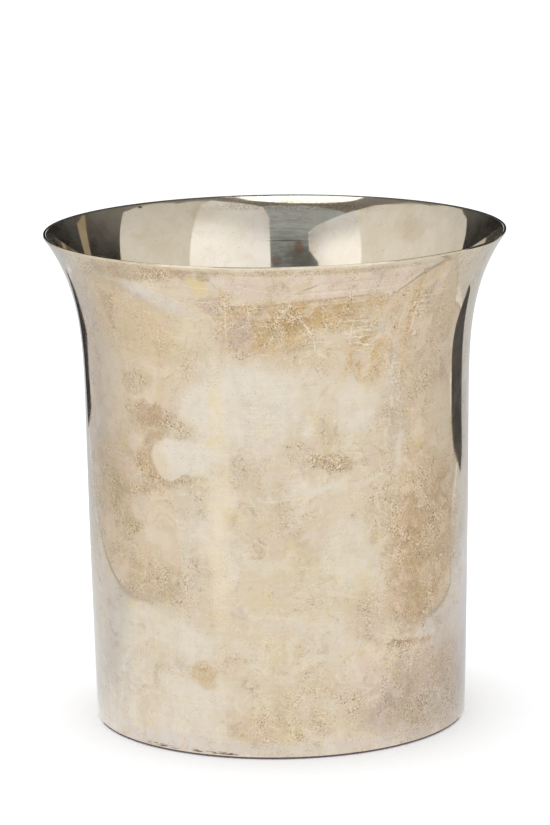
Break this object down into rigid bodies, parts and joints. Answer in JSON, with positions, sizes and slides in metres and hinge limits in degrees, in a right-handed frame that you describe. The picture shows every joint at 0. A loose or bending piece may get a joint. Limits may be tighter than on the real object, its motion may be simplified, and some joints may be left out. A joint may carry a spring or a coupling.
{
  "type": "champagne bucket",
  "caption": "Plain round metal bucket for ice and a bottle: tapered wall flared out at the top, thin rounded lip, pressed flat base, open mouth.",
  "frame": {"origin": "middle of the resting face under the base plate", "axes": "+Z along the axis of revolution, towards the open mouth; the wall's seam faces +Y"},
  "size_m": [0.2, 0.2, 0.2145],
  "materials": {
    "silver_plate": "polished silver plate, tarnished and scratched outside",
    "silver_plate_base": "satin silver plate, rubbed where it stands",
    "braze": "dressed flush and plated over",
    "solder": "smooth, dull"
  },
  "bodies": {
    "root": {"wall": "silver_plate", "wall_seam": "braze", "base_plate": "silver_plate_base", "base_solder": "solder"}
  },
  "joints": []
}
